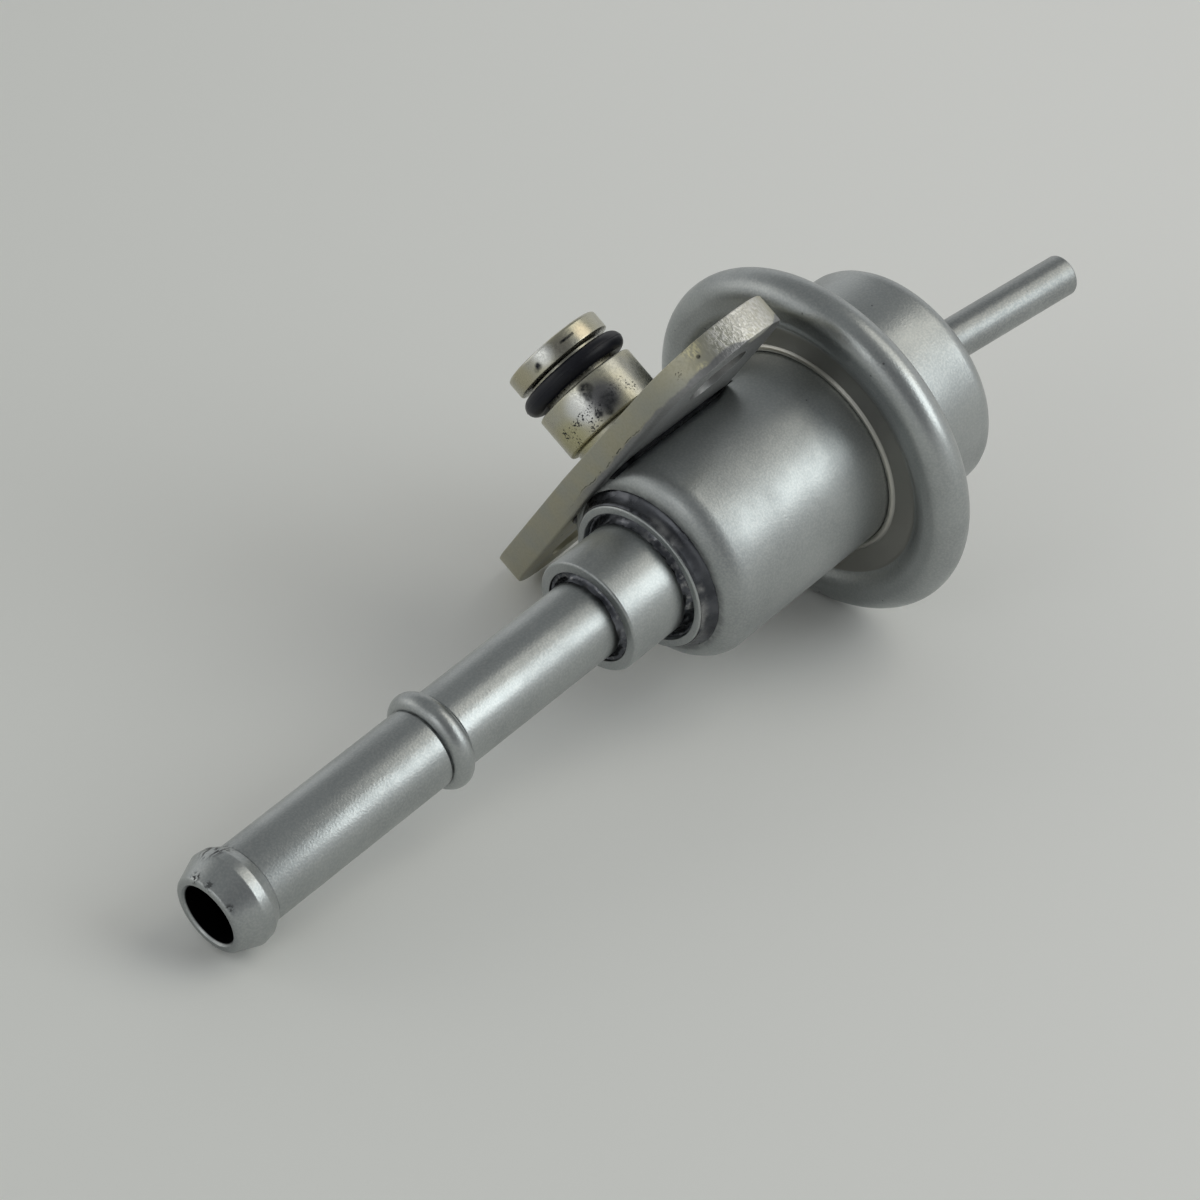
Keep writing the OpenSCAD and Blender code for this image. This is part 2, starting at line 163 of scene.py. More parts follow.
# the tool is used up, and slivers along the cut are merged away
def cutAway(piece, tool):
    pickUp(piece)
    cut = piece.modifiers.new("cut", "BOOLEAN")
    cut.operation = "DIFFERENCE"
    cut.solver = "EXACT"
    cut.object = tool
    bpy.ops.object.modifier_apply(modifier=cut.name)
    bpy.data.objects.remove(tool)
    bpy.ops.object.mode_set(mode="EDIT")
    bpy.ops.mesh.select_all(action="SELECT")
    bpy.ops.mesh.remove_doubles(threshold=weld)
    bpy.ops.mesh.dissolve_degenerate(threshold=weld)
    bpy.ops.object.mode_set(mode="OBJECT")


# filler that ran and froze: its skin is pushed in and out by soft clouds
def lumpUp(piece, size, depth):
    pickUp(piece)
    clouds = bpy.data.textures.new(piece.name + "Lumps", "CLOUDS")
    clouds.noise_scale = size * mm
    clouds.noise_depth = 2
    lumps = piece.modifiers.new("lumps", "DISPLACE")
    lumps.texture = clouds
    lumps.texture_coords = "LOCAL"
    lumps.strength = depth * mm
    lumps.mid_level = 0.5
    bpy.ops.object.modifier_apply(modifier=lumps.name)


# bends holds the two points between which a soft piece passes from the valve to the housing; the points are not
# used, and a piece given them keeps its place instead of being attached to the body
def settle(piece, node, material, angle=35, bends=None):
    pickUp(piece)
    bpy.ops.object.shade_smooth_by_angle(angle=math.radians(angle))
    piece.data.materials.clear()
    piece.data.materials.append(material)
    if bends:
        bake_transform(piece)
    else:
        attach(piece, "regulator")
    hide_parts(node)
    print("made", piece.name, len(piece.data.polygons), "faces")


# shader helpers
def plug(tree, socket, value):
    if isinstance(value, bpy.types.NodeSocket):
        tree.links.new(value, socket)
    elif isinstance(value, tuple) and len(value) == 3 and socket.type == "RGBA":
        socket.default_value = (*value, 1)
    else:
        socket.default_value = value


def calc(tree, operation, *values):
    node = tree.nodes.new("ShaderNodeMath")
    node.operation = operation
    for socket, value in zip(node.inputs, values):
        plug(tree, socket, value)
    return node.outputs[0]


def times(tree, first, *others):
    for other in others:
        first = calc(tree, "MULTIPLY", first, other)
    return first


def ease(tree, value, low, high, start=0.0, end=1.0):
    node = tree.nodes.new("ShaderNodeMapRange")
    node.interpolation_type = "SMOOTHSTEP"
    for label, number in (("Value", value), ("From Min", low), ("From Max", high),
                          ("To Min", start), ("To Max", end)):
        plug(tree, node.inputs[label], number)
    return node.outputs[0]


def blendColour(tree, mask, first, second):
    node = tree.nodes.new("ShaderNodeMix")
    node.data_type = "RGBA"
    plug(tree, node.inputs[0], mask)
    plug(tree, node.inputs[6], first)
    plug(tree, node.inputs[7], second)
    return node.outputs[2]


def toned(colour, tone):
    return tuple(c * tone for c in colour)


def onPiece(tree):
    return tree.nodes.new("ShaderNodeTexCoord").outputs["Object"]


def cloud(tree, place, scale, detail):
    node = tree.nodes.new("ShaderNodeTexNoise")
    plug(tree, node.inputs["Vector"], place)
    plug(tree, node.inputs["Scale"], scale)
    node.inputs["Detail"].default_value = detail
    return node.outputs["Fac"]


def stretchedCloud(tree, scale, detail):
    node = tree.nodes.new("ShaderNodeMapping")
    plug(tree, node.inputs["Vector"], onPiece(tree))
    node.inputs["Scale"].default_value = scale
    return cloud(tree, node.outputs["Vector"], 1.0, detail)


def measure(tree, operation, first, second):
    node = tree.nodes.new("ShaderNodeVectorMath")
    node.operation = operation
    plug(tree, node.inputs[0], first)
    plug(tree, node.inputs[1], second)
    return node.outputs["Value" if operation in ("DOT_PRODUCT", "DISTANCE") else "Vector"]


def newGroup(name, inputs, outputs):
    group = bpy.data.node_groups.new(name, "ShaderNodeTree")
    for label, kind, value in inputs:
        group.interface.new_socket(label, in_out="INPUT", socket_type=kind).default_value = value
    for label in outputs:
        group.interface.new_socket(label, in_out="OUTPUT", socket_type="NodeSocketFloat")
    start = group.nodes.new("NodeGroupInput")
    end = group.nodes.new("NodeGroupOutput")
    return group, start.outputs, end.inputs


def useGroup(tree, group, **values):
    node = tree.nodes.new("ShaderNodeGroup")
    node.node_tree = group
    for label, value in values.items():
        plug(tree, node.inputs[label], value)
    return node.outputs


# fine sparkle of plating, a soft orange peel and slow patches of tone
platingGrain, given, made = newGroup("platingGrain", [
    ("Fine", "NodeSocketFloat", 5200), ("Coarse", "NodeSocketFloat", 800),
    ("Patch", "NodeSocketFloat", 130)], ["Height", "Sparkle", "Patches"])
spot = onPiece(platingGrain)
fine = cloud(platingGrain, spot, given["Fine"], 2)
coarse = cloud(platingGrain, spot, given["Coarse"], 3)
patches = cloud(platingGrain, spot, given["Patch"], 3)
plug(platingGrain, made["Height"], calc(platingGrain, "MULTIPLY_ADD", coarse, 0.2, fine))
plug(platingGrain, made["Sparkle"], ease(platingGrain, fine, 0.35, 0.7))
plug(platingGrain, made["Patches"], ease(platingGrain, patches, 0.3, 0.7))

# scattered dots: each cell holds one, and only a share of the cells shows it
darkDots, given, made = newGroup("darkDots", [
    ("Scale", "NodeSocketFloat", 900), ("Size", "NodeSocketFloat", 0.3),
    ("Share", "NodeSocketFloat", 0.2)], ["Mask"])
cells = darkDots.nodes.new("ShaderNodeTexVoronoi")
plug(darkDots, cells.inputs["Vector"], onPiece(darkDots))
plug(darkDots, cells.inputs["Scale"], given["Scale"])
pick = darkDots.nodes.new("ShaderNodeSeparateColor")
plug(darkDots, pick.inputs[0], cells.outputs["Color"])
core = times(darkDots, given["Size"], 0.55)
inside = ease(darkDots, cells.outputs["Distance"], given["Size"], core)
shown = calc(darkDots, "LESS_THAN", pick.outputs[0], given["Share"])
plug(darkDots, made["Mask"], times(darkDots, inside, shown))

# a soft ball round one place
spotMask, given, made = newGroup("spotMask", [
    ("Place", "NodeSocketVector", (0, 0, 0)), ("Reach", "NodeSocketFloat", mm)], ["Mask"])
away = measure(spotMask, "DISTANCE", onPiece(spotMask), given["Place"])
core = times(spotMask, given["Reach"], 0.35)
plug(spotMask, made["Mask"], ease(spotMask, away, given["Reach"], core))

# a soft slice across one direction
bandMask, given, made = newGroup("bandMask", [
    ("Direction", "NodeSocketVector", (1, 0, 0)), ("Place", "NodeSocketFloat", 0.0),
    ("Reach", "NodeSocketFloat", mm)], ["Mask"])
level = measure(bandMask, "DOT_PRODUCT", onPiece(bandMask), given["Direction"])
off = calc(bandMask, "ABSOLUTE", calc(bandMask, "SUBTRACT", level, given["Place"]))
plug(bandMask, made["Mask"], ease(bandMask, off, given["Reach"], 0.0))

# everything nearer to the body's centre line than a radius
boreMask, given, made = newGroup("boreMask", [
    ("Radius", "NodeSocketFloat", 3 * mm), ("Soft", "NodeSocketFloat", 0.1 * mm)], ["Mask"])
fromLine = measure(boreMask, "SUBTRACT", onPiece(boreMask), tuple(bodyLine[0]))
fromLine = measure(boreMask, "MULTIPLY", fromLine, (0, 1, 1))
beyond = calc(boreMask, "SUBTRACT", measure(boreMask, "DISTANCE", fromLine, (0, 0, 0)), given["Radius"])
plug(boreMask, made["Mask"], ease(boreMask, beyond, given["Soft"], 0.0))
print("shader groups built")


# places and reaches of the masks below are in millimetres
def spotAt(tree, place, reach):
    return useGroup(tree, spotMask, Place=toned(place, mm), Reach=reach * mm)["Mask"]


def bandAt(tree, place, reach):
    return useGroup(tree, bandMask, Place=place * mm, Reach=reach * mm)["Mask"]


def within(tree, radius, soft=0.1):
    return useGroup(tree, boreMask, Radius=radius * mm, Soft=soft * mm)["Mask"]


def newMaterial(name, metallic, rough=0.5):
    material = bpy.data.materials.new(name)
    material.use_nodes = True
    shader = material.node_tree.nodes["Principled BSDF"]
    shader.inputs["Metallic"].default_value = metallic
    shader.inputs["Roughness"].default_value = rough
    return material, material.node_tree, shader


# colour, roughness running from low to high over a span of the mask, and the grain's height
def dress(tree, shader, colour, mask, low, high, height, depth, span=(0.0, 1.0)):
    plug(tree, shader.inputs["Base Color"], colour)
    plug(tree, shader.inputs["Roughness"], ease(tree, mask, *span, low, high))
    bump = tree.nodes.new("ShaderNodeBump")
    bump.inputs["Strength"].default_value = 1.0
    bump.inputs["Distance"].default_value = depth * mm
    plug(tree, bump.inputs["Height"], height)
    plug(tree, shader.inputs["Normal"], bump.outputs["Normal"])


# satin zinc on drawn steel, with painted shade in each piece's own corners, creases and bores, painted light on a
# few bands, and real scuffs and dark specks
steelLook = {"bright": (0.402, 0.424, 0.427), "dull": (0.334, 0.353, 0.358),
             "glitter": (0.62, 0.62, 0.6), "glitterShare": 0.26,
             "dirtAndShade": (0.03, 0.03, 0.033), "inside": (0.012, 0.012, 0.014), "insideSoft": 0.12,
             "smooth": 0.3, "coarse": 0.4, "grainDepth": 0.016,
             "grain": {"Fine": 4600.0, "Coarse": 800.0, "Patch": 130.0},
             "raggedScale": 900.0, "ragged": (0.38, 0.58), "scuffed": (0.47, 0.55),
             "specks": {"Scale": 1100.0, "Size": 0.17}, "speckShare": 0.6}


def steelFinish(name, paintedCornerShade=(), spots=(), paintedLightBands=(), bore=None, dots=0.012, matt=0.0, tone=1.0):
    look = steelLook
    material, tree, shader = newMaterial(name, 1.0)
    grain = useGroup(tree, platingGrain, **look["grain"])
    colour = blendColour(tree, grain["Patches"], toned(look["bright"], tone), toned(look["dull"], tone))
    colour = blendColour(tree, times(tree, grain["Sparkle"], look["glitterShare"]), colour, look["glitter"])
    ragged = ease(tree, cloud(tree, onPiece(tree), look["raggedScale"], 4), *look["ragged"])
    ragged = calc(tree, "MULTIPLY_ADD", ragged, 0.5, 0.5)
    for place, reach, share in paintedCornerShade:       # painted shade in a corner or crease that runs round the body, with a ragged edge
        mask = times(tree, bandAt(tree, place, reach), share, ragged)
        colour = blendColour(tree, mask, colour, look["dirtAndShade"])
    for place, reach, radius, tint in paintedLightBands:       # painted light on a band: a highlight along an edge, shade over a face
        mask = times(tree, bandAt(tree, place, reach), within(tree, radius))
        colour = blendColour(tree, mask, colour, tint)
    for place, reach, share, streak in spots:       # scuffs and nicks at one place
        marks = ease(tree, stretchedCloud(tree, streak, 3), *look["scuffed"])
        colour = blendColour(tree, times(tree, spotAt(tree, place, reach), marks, share), colour, look["dirtAndShade"])
    specks = useGroup(tree, darkDots, Share=dots, **look["specks"])["Mask"]
    colour = blendColour(tree, times(tree, specks, look["speckShare"]), colour, look["dirtAndShade"])
    # painted shade: inside the bore's radius the steel is painted near black
    if bore:
        colour = blendColour(tree, within(tree, bore, look["insideSoft"]), colour, look["inside"])
    dress(tree, shader, colour, grain["Patches"], look["smooth"] + matt, look["coarse"] + matt,
          grain["Height"], look["grainDepth"])
    return material


# yellowish zinc of the flange and the inlet: yellow, grey, smooth and coarse
oliveLook = {"plate": ((0.45, 0.43, 0.33), (0.41, 0.41, 0.36), 0.42, 0.56),
             "inlet": ((0.50, 0.475, 0.36), (0.46, 0.455, 0.41), 0.26, 0.38),
             "grain": {"Fine": 4200.0, "Coarse": 900.0, "Patch": 260.0}, "grainDepth": 0.003,
             "stain": (0.022, 0.024, 0.029), "patchScale": 2600.0, "patchy": (0.36, 0.62, 0.6, 1.0),
             "gritScale": 5200.0, "gritMore": 0.12, "grit": (0.63, 0.73), "gritEdge": (0.0, 0.3),
             "specks": {"Scale": 1000.0, "Size": 0.2, "Share": 0.03}, "speckShare": 0.75}

# blanked edge of the flange: torn bright at the end towards the camera, and over most of the side a ragged
# line above the pressed lower edge
tornLook = {"streak": (4600.0, 4600.0, 2400.0), "marks": (0.38, 0.62), "silver": (0.72, 0.71, 0.68),
            "end": ((2.1, -25.3, -0.8), 4.6), "scuff": ((-0.9, -25.5, -1.4), 3.4), "depth": (7.0, 0.8),
            "glint": (0.78, 0.73, 0.48), "glintShare": 0.85,
            "glints": [((-4.5, -24.0, -0.3), 1.3), ((-4.67, -23.86, -2.5), 0.9)],
            "waveScale": 520.0, "wave": 0.9 * mm, "endRise": 1.3 * mm, "near": (5.0 * mm, -5.0 * mm),
            "pressed": (0.27, 0.272, 0.275), "pressedLevel": (-2.1 * mm, -2.4 * mm),
            "lineLevel": 2.15 * mm, "line": (0.08 * mm, 0.015 * mm), "lineSpan": (-17.0 * mm, -12.0 * mm),
            "breakScale": 900.0, "breaks": (0.42, 0.55), "lineShare": 0.8}


def tornEdge(tree, colour, height):
    look = tornLook
    marks = ease(tree, stretchedCloud(tree, look["streak"], 6), *look["marks"])
    end = spotAt(tree, *look["end"])
    scuff = spotAt(tree, *look["scuff"])
    bright = calc(tree, "MAXIMUM", end, times(tree, scuff, marks))
    bright = times(tree, bright, calc(tree, "MULTIPLY_ADD", marks, 0.5, 0.5))
    colour = blendColour(tree, bright, colour, look["silver"])
    depth = calc(tree, "MULTIPLY_ADD", calc(tree, "MAXIMUM", end, scuff), *look["depth"])
    height = calc(tree, "MULTIPLY_ADD", marks, depth, height)
    for place, reach in look["glints"]:
        glint = times(tree, spotAt(tree, place, reach), marks, look["glintShare"])
        colour = blendColour(tree, glint, colour, look["glint"])
    wave = calc(tree, "SUBTRACT", cloud(tree, onPiece(tree), look["waveScale"], 6), 0.5)
    level = measure(tree, "DOT_PRODUCT", onPiece(tree), (0.0, 0.0, 1.0))
    level = calc(tree, "MULTIPLY_ADD", wave, look["wave"], level)
    level = calc(tree, "MULTIPLY_ADD", end, look["endRise"], level)
    across = measure(tree, "DOT_PRODUCT", onPiece(tree), (0.0, 1.0, 0.0))
    near = ease(tree, across, *look["near"])
    # the pressed lower edge on the near half: its grey plating, darkened by a painted reflection of the shaded cup
    pressed = ease(tree, level, *look["pressedLevel"])
    colour = blendColour(tree, times(tree, pressed, near), colour, look["pressed"])
    off = calc(tree, "ABSOLUTE", calc(tree, "ADD", level, look["lineLevel"]))
    breaks = ease(tree, cloud(tree, onPiece(tree), look["breakScale"], 3), *look["breaks"])
    line = times(tree, ease(tree, off, *look["line"]), near, ease(tree, across, *look["lineSpan"]), breaks)
    colour = blendColour(tree, times(tree, line, look["lineShare"]), colour, oliveLook["stain"])
    return colour, height


def oliveFinish(name, kind, stains=(), pepper=(), tints=(), torn=False):
    look = oliveLook
    yellow, grey, smooth, coarse = look[kind]
    material, tree, shader = newMaterial(name, 1.0)
    grain = useGroup(tree, platingGrain, **look["grain"])
    colour = blendColour(tree, grain["Patches"], yellow, grey)
    height = grain["Height"]
    if torn:
        colour, height = tornEdge(tree, colour, height)
    for place, reach, share, tint in tints:        # soft patches of tint: painted highlights, and the plating's own tones
        colour = blendColour(tree, times(tree, spotAt(tree, place, reach), share), colour, tint)
    patchy = ease(tree, cloud(tree, onPiece(tree), look["patchScale"], 4), *look["patchy"])
    for place, reach, share in stains:        # soft dark clouds
        colour = blendColour(tree, times(tree, spotAt(tree, place, reach), patchy, share), colour, look["stain"])
    grit = cloud(tree, onPiece(tree), look["gritScale"], 3)
    for place, reach, share in pepper:        # fine specks, thinning outwards
        mask = spotAt(tree, place, reach)
        marks = ease(tree, calc(tree, "MULTIPLY_ADD", mask, look["gritMore"], grit), *look["grit"])
        marks = times(tree, marks, ease(tree, mask, *look["gritEdge"]), share)
        colour = blendColour(tree, marks, colour, look["stain"])
    specks = useGroup(tree, darkDots, **look["specks"])["Mask"]
    colour = blendColour(tree, times(tree, specks, look["speckShare"]), colour, look["stain"])
    dress(tree, shader, colour, grain["Sparkle"], smooth, coarse, height, look["grainDepth"])
    return material


# dark, smooth filler with a few bare grains
brazeLook = {"black": (0.034, 0.036, 0.042), "grey": (0.1, 0.104, 0.115), "bare": (0.36, 0.36, 0.36),
             "grain": {"Fine": 2600.0, "Coarse": 700.0, "Patch": 300.0}, "grainDepth": 0.014,
             "smooth": 0.2, "coarse": 0.34, "rubScale": 1900.0, "rubbed": (0.52, 0.7),
             "grainsLitSide": (0.0, -0.48, -0.877), "sideFrom": -1.0 * mm, "sideTo": 3.5 * mm, "flecks": (0.44, 0.72)}


def brazeFinish(name, bare, grains=None, soft=0.25, tone=1.0, fleck=1700.0):
    look = brazeLook
    material, tree, shader = newMaterial(name, 1.0)
    grain = useGroup(tree, platingGrain, **look["grain"])
    colour = blendColour(tree, grain["Patches"], toned(look["black"], tone), toned(look["grey"], tone))
    rubbed = ease(tree, cloud(tree, onPiece(tree), look["rubScale"], 5), *look["rubbed"])
    colour = blendColour(tree, times(tree, rubbed, bare), colour, look["bare"])
    if grains:      # bare grey grains inside a radius, kept to the lit side: real bare grains, with painted highlight on that side
        side = measure(tree, "SUBTRACT", onPiece(tree), tuple(bodyLine[0]))
        side = measure(tree, "DOT_PRODUCT", side, look["grainsLitSide"])
        mask = times(tree, within(tree, grains, soft), ease(tree, side, look["sideFrom"], look["sideTo"]))
        flecks = ease(tree, cloud(tree, onPiece(tree), fleck, 4), *look["flecks"])
        colour = blendColour(tree, mask, colour, blendColour(tree, flecks, colour, look["bare"]))
    dress(tree, shader, colour, grain["Patches"], look["smooth"], look["coarse"],
          grain["Height"], look["grainDepth"])
    return material


rubberLook = {"grain": {"Fine": 2600.0, "Coarse": 900.0, "Patch": 300.0}, "grainDepth": 0.003, "shine": 0.3,
              "smooth": 0.36, "coarse": 0.52, "threads": 600, "threadDepth": 3.0}


def rubberFinish(name, colour, dusty, weave=False):
    look = rubberLook
    material, tree, shader = newMaterial(name, 0.0)
    shader.inputs["Specular IOR Level"].default_value = look["shine"]
    grain = useGroup(tree, platingGrain, **look["grain"])
    height = grain["Height"]
    if weave:       # threads under the rubber
        threads = tree.nodes.new("ShaderNodeTexWave")
        threads.inputs["Scale"].default_value = look["threads"]
        plug(tree, threads.inputs["Vector"], onPiece(tree))
        height = calc(tree, "MULTIPLY_ADD", threads.outputs["Fac"], look["threadDepth"], height)
    dress(tree, shader, blendColour(tree, grain["Patches"], colour, dusty), grain["Patches"],
          look["smooth"], look["coarse"], height, look["grainDepth"])
    return material


# plain machined metals of the valve inside
innerLook = {"grain": {"Fine": 4200.0, "Coarse": 900.0, "Patch": 400.0}, "lines": (0.3, 0.7), "depth": 0.002}


def innerMetal(name, colour, wearAndHighlight, low, high, lines):
    material, tree, shader = newMaterial(name, 1.0)
    grain = useGroup(tree, platingGrain, **innerLook["grain"])
    turned = stretchedCloud(tree, lines, 2)
    dress(tree, shader, blendColour(tree, grain["Patches"], colour, wearAndHighlight), turned, low, high,
          turned, innerLook["depth"], innerLook["lines"])
    return material


# a ring of painted corner shade is (place, reach, share), a spot (place, reach, share, streak), a band of painted
# light (place, reach, radius, tint)
# painted shade in the creases of the bead and the barb and at the sleeve, and a bore painted near black, also
# painted shade; the spots are real scratches and nicks
tubeSteel = steelFinish("tubeSteel", bore=2.99, paintedCornerShade=[
    (-37.98, 0.16, 0.85), (-35.42, 0.14, 0.6), (-59.38, 0.08, 0.4), (-16.5, 0.7, 0.75)], spots=[
    ((-60.6, -2.3, -7.7), 2.0, 1.0, (500.0, 3600.0, 3600.0)),
    ((-63.8, -2.5, -8.4), 0.8, 0.95, (2600.0, 2600.0, 2600.0)),
    ((-63.85, -3.6, -9.8), 0.7, 0.7, (3600.0, 2000.0, 2000.0)),
    ((-63.8, -3.9, -12.5), 0.6, 0.7, (3200.0, 2600.0, 2600.0))])
# painted shade where the sleeve meets the filler, and its recess painted near black, also painted shade
sleeveSteel = steelFinish("sleeveSteel", bore=4.77, paintedCornerShade=[(-9.5, 0.3, 0.3)], matt=0.03)
# painted shade round the corner at the neck
cupSteel = steelFinish("cupSteel", paintedCornerShade=[(-7.6, 0.25, 0.45)], matt=0.07)
# painted shade over the lip's flat face, and a painted highlight along the ridge at the lip's edge
housingSteel = steelFinish("housingSteel", paintedLightBands=[
    (14.2, 0.3, 13.8, (0.31, 0.305, 0.285)), (13.98, 0.2, 11.55, (0.45, 0.44, 0.4))])
# painted shade on the collar's wall along the filler
collarSteel = steelFinish("collarSteel", paintedCornerShade=[(-8.2, 0.8, 0.8)], dots=0.1)
# painted shade: the nipple's steel is a darker copy of the same finish
nippleSteel = steelFinish("nippleSteel", tone=0.82)
springPlate = steelFinish("springPlate")

# a tint is (place, reach, share, colour), a stain or a patch of pepper (place, reach, share)
plateZinc = oliveFinish("plateZinc", "plate", torn=True, stains=[((-4.41, -24.06, -1.27), 0.28, 1.0)],
                        pepper=[((-6.0, -22.3, -1.4), 0.6, 0.7)])
inletMarks = {"wearAndHighlight": (0.72, 0.73, 0.72), "lineRadius": 5.2, "lineHeight": 9.75, "lineFrom": 248, "lineTo": 266}
# the two silver spots and the warm spot on the land are painted highlights; the yellow and olive patches are the
# plating's own tone, the grey patch is a stain, and the brown patch darkens the land between its highlights
inletTints = [
    ((-4.1, -3.45, 3.9), 2.3, 0.85, inletMarks["wearAndHighlight"]), ((-3.65, -3.7, 10.0), 1.5, 0.75, inletMarks["wearAndHighlight"]),
    ((-5.3, -0.6, 2.2), 2.8, 0.8, (0.50, 0.47, 0.28)), ((-2.2, -4.88, 3.3), 2.3, 0.9, (0.2, 0.2, 0.215)),
    ((-2.0, -4.8, 9.5), 1.3, 0.6, (0.3, 0.28, 0.24)), ((0.42, -5.18, 9.3), 1.3, 0.6, (0.7, 0.6, 0.43)),
    ((-5.1, -0.8, 9.7), 2.0, 0.6, (0.46, 0.42, 0.29))]
inletStains = [
    ((-4.3, -2.92, 9.49), 0.5, 1.0), ((-4.52, -2.57, 9.3), 0.4, 0.5), ((-3.02, -4.41, 4.9), 1.0, 0.95),
    ((-3.2, -4.25, 4.15), 0.55, 0.8), ((-2.1, -4.92, 2.75), 1.2, 0.75), ((-3.42, -4.11, 2.35), 0.6, 0.9),
    ((-2.6, -4.67, 1.9), 0.6, 0.8)]
for degrees in range(inletMarks["lineFrom"], inletMarks["lineTo"], 2):        # a dark line round the land
    turn, radius = math.radians(degrees), inletMarks["lineRadius"]
    inletStains.append(((radius * math.cos(turn), radius * math.sin(turn), inletMarks["lineHeight"]), 0.2, 1.0))
inletPepper = [
    ((-3.6, -3.95, 2.7), 1.3, 1.0), ((-4.3, -3.2, 3.15), 0.9, 0.95), ((-4.75, -2.45, 3.1), 0.8, 0.95),
    ((-5.1, -1.6, 3.05), 0.75, 0.95), ((-5.33, -0.45, 3.05), 0.8, 1.0), ((-5.24, -1.05, 1.82), 0.9, 0.9),
    ((-4.3, -3.2, 1.9), 1.0, 0.9), ((0.46, -5.33, 2.65), 0.9, 0.8), ((0.1, -5.34, 3.6), 0.8, 0.6),
    ((-1.0, -5.2, 3.4), 1.0, 0.5)]
inletZinc = oliveFinish("inletZinc", "inlet", tints=inletTints, stains=inletStains, pepper=inletPepper)

tubeFiller = brazeFinish("tubeFiller", 0.4, tone=1.7)
# grains: bare grains of the filler, with painted highlight on the lit side
neckFiller = brazeFinish("neckFiller", 0.2, grains=6.25, tone=1.6)
collarFiller = brazeFinish("collarFiller", 0.04, grains=7.84, soft=0.2, tone=1.25, fleck=420.0)
# nearly black: the dark filler of the flange, inlet and nipple feet, with a painted shadow along the contact lines
footFillerAndShadow = brazeFinish("footFillerAndShadow", 0.0, tone=0.2)
ringRubber = rubberFinish("ringRubber", (0.0055, 0.006, 0.011), (0.01, 0.011, 0.018))
sheetRubber = rubberFinish("sheetRubber", (0.05, 0.046, 0.042), (0.075, 0.07, 0.062), weave=True)
seatSteel = innerMetal("seatSteel", (0.6, 0.6, 0.61), (0.5, 0.5, 0.52), 0.12, 0.22, (5000.0, 400.0, 400.0))
holderBrass = innerMetal("holderBrass", (0.68, 0.51, 0.22), (0.56, 0.41, 0.18), 0.22, 0.38,
                         (5200.0, 300.0, 300.0))
springWire = innerMetal("springWire", (0.33, 0.33, 0.35), (0.24, 0.24, 0.26), 0.28, 0.42,
                        (900.0, 900.0, 900.0))
print("materials built")


# drawn cup: its outside and its hollow both have the flat under the flange; the tools have odd step counts,
# so that their corners don't fall on the cup's
cup = {"front": -7.6, "radius": 10.7, "wall": 1.0, "shoulder": 2.4, "flange": 15.2, "flangeRadius": 16.8,
       "fillet": 0.5, "edge": 0.2, "mouth": 1.5, "past": 1, "flatFrom": -9, "flatHalf": 12, "flatTop": 2,
       "flatHeight": -3.0, "flatEnd": 8.8, "neckFrom": -9, "neckHole": 7.68, "neckEnd": -5.97,
       "inletFrom": -11.5, "inletHole": 4.05, "steps": 160, "hollowSteps": 151, "neckSteps": 127, "inletSteps": 97}
cupBack = cup["flange"] + cup["wall"]
cupInner = cup["radius"] - cup["wall"]
hollowFront = cup["front"] + cup["wall"]
mouthRadius = cupInner + cup["mouth"]


def flatTool(inset):
    return boxPiece("flatTool", (cup["flatFrom"], -cup["flatHalf"], cup["flatHeight"] - inset),
                    (cup["flatEnd"] - inset, cup["flatHalf"], cup["flatTop"]))


fuelCup = turnPiece("fuelCup", [
    (cup["front"], 0), (cup["front"], cup["radius"], cup["shoulder"]),
    (cup["flange"], cup["radius"], cup["fillet"]), (cup["flange"], cup["flangeRadius"], cup["edge"]),
    (cupBack, cup["flangeRadius"], cup["edge"]), (cupBack, 0)], bodyLine, cup["steps"])
hollow = turnPiece("cupHollow", [
    (hollowFront, 0), (hollowFront, cupInner, cup["shoulder"] - cup["wall"]),
    *arc(cupBack - cup["mouth"], mouthRadius, cup["mouth"], -90, 0, 8),
    (cupBack + cup["past"], mouthRadius), (cupBack + cup["past"], 0)], bodyLine, cup["hollowSteps"])
cutAway(fuelCup, flatTool(0))
cutAway(hollow, flatTool(cup["wall"]))
cutAway(fuelCup, hollow)
cutAway(fuelCup, pinTool("neckTool", cup["neckFrom"], cup["neckEnd"], cup["neckHole"], bodyLine, cup["neckSteps"]))
cutAway(fuelCup, pinTool("inletTool", cup["inletFrom"], cup["past"], cup["inletHole"], inletLine, cup["inletSteps"]))
settle(fuelCup, "fuel_chamber_cup", cupSteel)

# drawn dome with its edge rolled over the cup's flange and the diaphragm, and a small ridge on the lip
dome = {"rimAlong": 15.7, "rimRadius": 16.4, "rimFlat": 0.8, "rimInner": 1.2, "rimOuter": 2.2, "blend": 12,
        "blendRadius": 1.4, "lipFront": 14.2, "lipBack": 15.2, "edgeAlong": 14.3, "edgeRadius": 11.05,
        "edge": 0.35, "edgeFoot": 0.16, "lipFoot": 11.3, "lipStep": (-0.5, -0.4), "radius": 12.0,
        "inner": 11.0, "top": 28.8, "under": 27.8, "shoulder": 1.8, "innerShoulder": 0.8, "backOut": 17.9,
        "backIn": 16.9, "foot": 0.7, "nippleHole": 2.08, "nippleReach": 3, "steps": 160, "nippleSteps": 67}
lipTurn = math.degrees(math.asin((dome["rimAlong"] - dome["lipFront"]) / dome["rimOuter"]))
inTurn = math.degrees(math.asin((dome["rimAlong"] - dome["lipBack"]) / dome["rimInner"]))
frontRadius = dome["rimRadius"] - dome["rimFlat"]
rimStart = 270 - lipTurn - dome["blend"]
rimFront = arc(dome["rimAlong"], frontRadius, dome["rimOuter"], rimStart, 180, 14)
